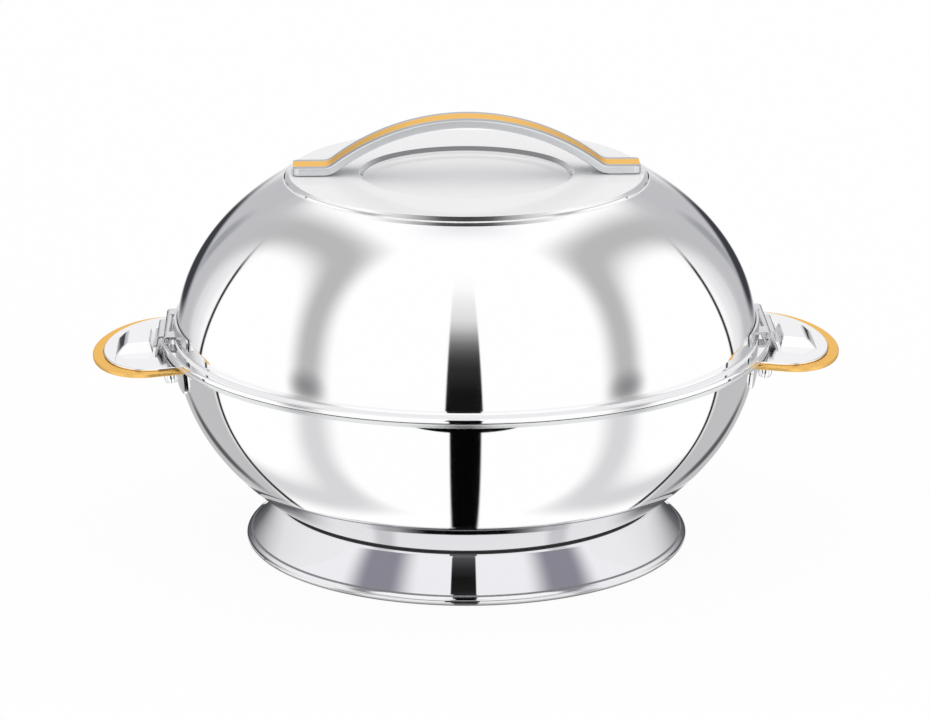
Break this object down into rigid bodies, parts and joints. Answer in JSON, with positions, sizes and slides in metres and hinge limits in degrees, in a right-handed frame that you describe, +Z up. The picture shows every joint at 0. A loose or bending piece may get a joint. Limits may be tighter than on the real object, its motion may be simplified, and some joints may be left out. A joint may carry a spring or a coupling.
{
  "type": "insulated casserole",
  "caption": "Double-walled insulated steel serving casserole with a domed lift-off lid, an arched lid handle, D-shaped side handles and hinged lock clips.",
  "frame": {"origin": "on the table, under the middle of the bowl", "axes": "+X to the right-hand side handle, +Y to the rear, +Z up"},
  "size_m": [0.346, 0.2816, 0.2006],
  "materials": {
    "polished_steel": "mirror polished",
    "satin_steel": "satin",
    "gilt_band": "satin gilt",
    "insulation_foam": "closed-cell foam",
    "plug_plastic": "moulded"
  },
  "bodies": {
    "base": {"foot_ring": "polished_steel", "base_outer_shell": "polished_steel", "base_inner_bowl": "satin_steel", "base_insulation": "insulation_foam", "base_fill_plug": "plug_plastic", "right_handle_bolt_front": "polished_steel", "right_handle_bolt_rear": "polished_steel", "right_handle_plate": "polished_steel", "right_handle_band": "gilt_band", "right_handle_bracket": "polished_steel", "right_handle_cap_nut_front": "polished_steel", "right_handle_cap_nut_rear": "polished_steel", "left_handle_bolt_front": "polished_steel", "left_handle_bolt_rear": "polished_steel", "left_handle_plate": "polished_steel", "left_handle_band": "gilt_band", "left_handle_bracket": "polished_steel", "left_handle_cap_nut_front": "polished_steel", "left_handle_cap_nut_rear": "polished_steel"},
    "lid": {"lid_outer_dome": "polished_steel", "lid_inner_liner": "satin_steel", "lid_insulation": "insulation_foam", "lid_fill_plug": "plug_plastic", "lid_handle": "polished_steel", "lid_handle_inlay": "gilt_band", "lid_handle_washer_left": "satin_steel", "lid_handle_washer_right": "satin_steel", "lid_handle_nut_left": "satin_steel", "lid_handle_nut_right": "satin_steel", "right_clip_bracket": "polished_steel", "right_clip_pin": "polished_steel", "left_clip_bracket": "polished_steel", "left_clip_pin": "polished_steel"},
    "left_clip": {"left_clip_flap": "polished_steel"},
    "right_clip": {"right_clip_flap": "polished_steel"}
  },
  "joints": [
    {"name": "lid_lift", "type": "slide", "parent": "base", "child": "lid", "axis": [0, 0, 1], "range_m": [0, 0.2]},
    {"name": "left_clip_hinge", "type": "hinge", "parent": "lid", "child": "left_clip", "pos_m": [-0.1378, 0, 0.1017], "axis": [0, 1, 0], "range_deg": [0, 100]},
    {"name": "right_clip_hinge", "type": "hinge", "parent": "lid", "child": "right_clip", "pos_m": [0.1378, 0, 0.1017], "axis": [0, -1, 0], "range_deg": [0, 100]}
  ]
}
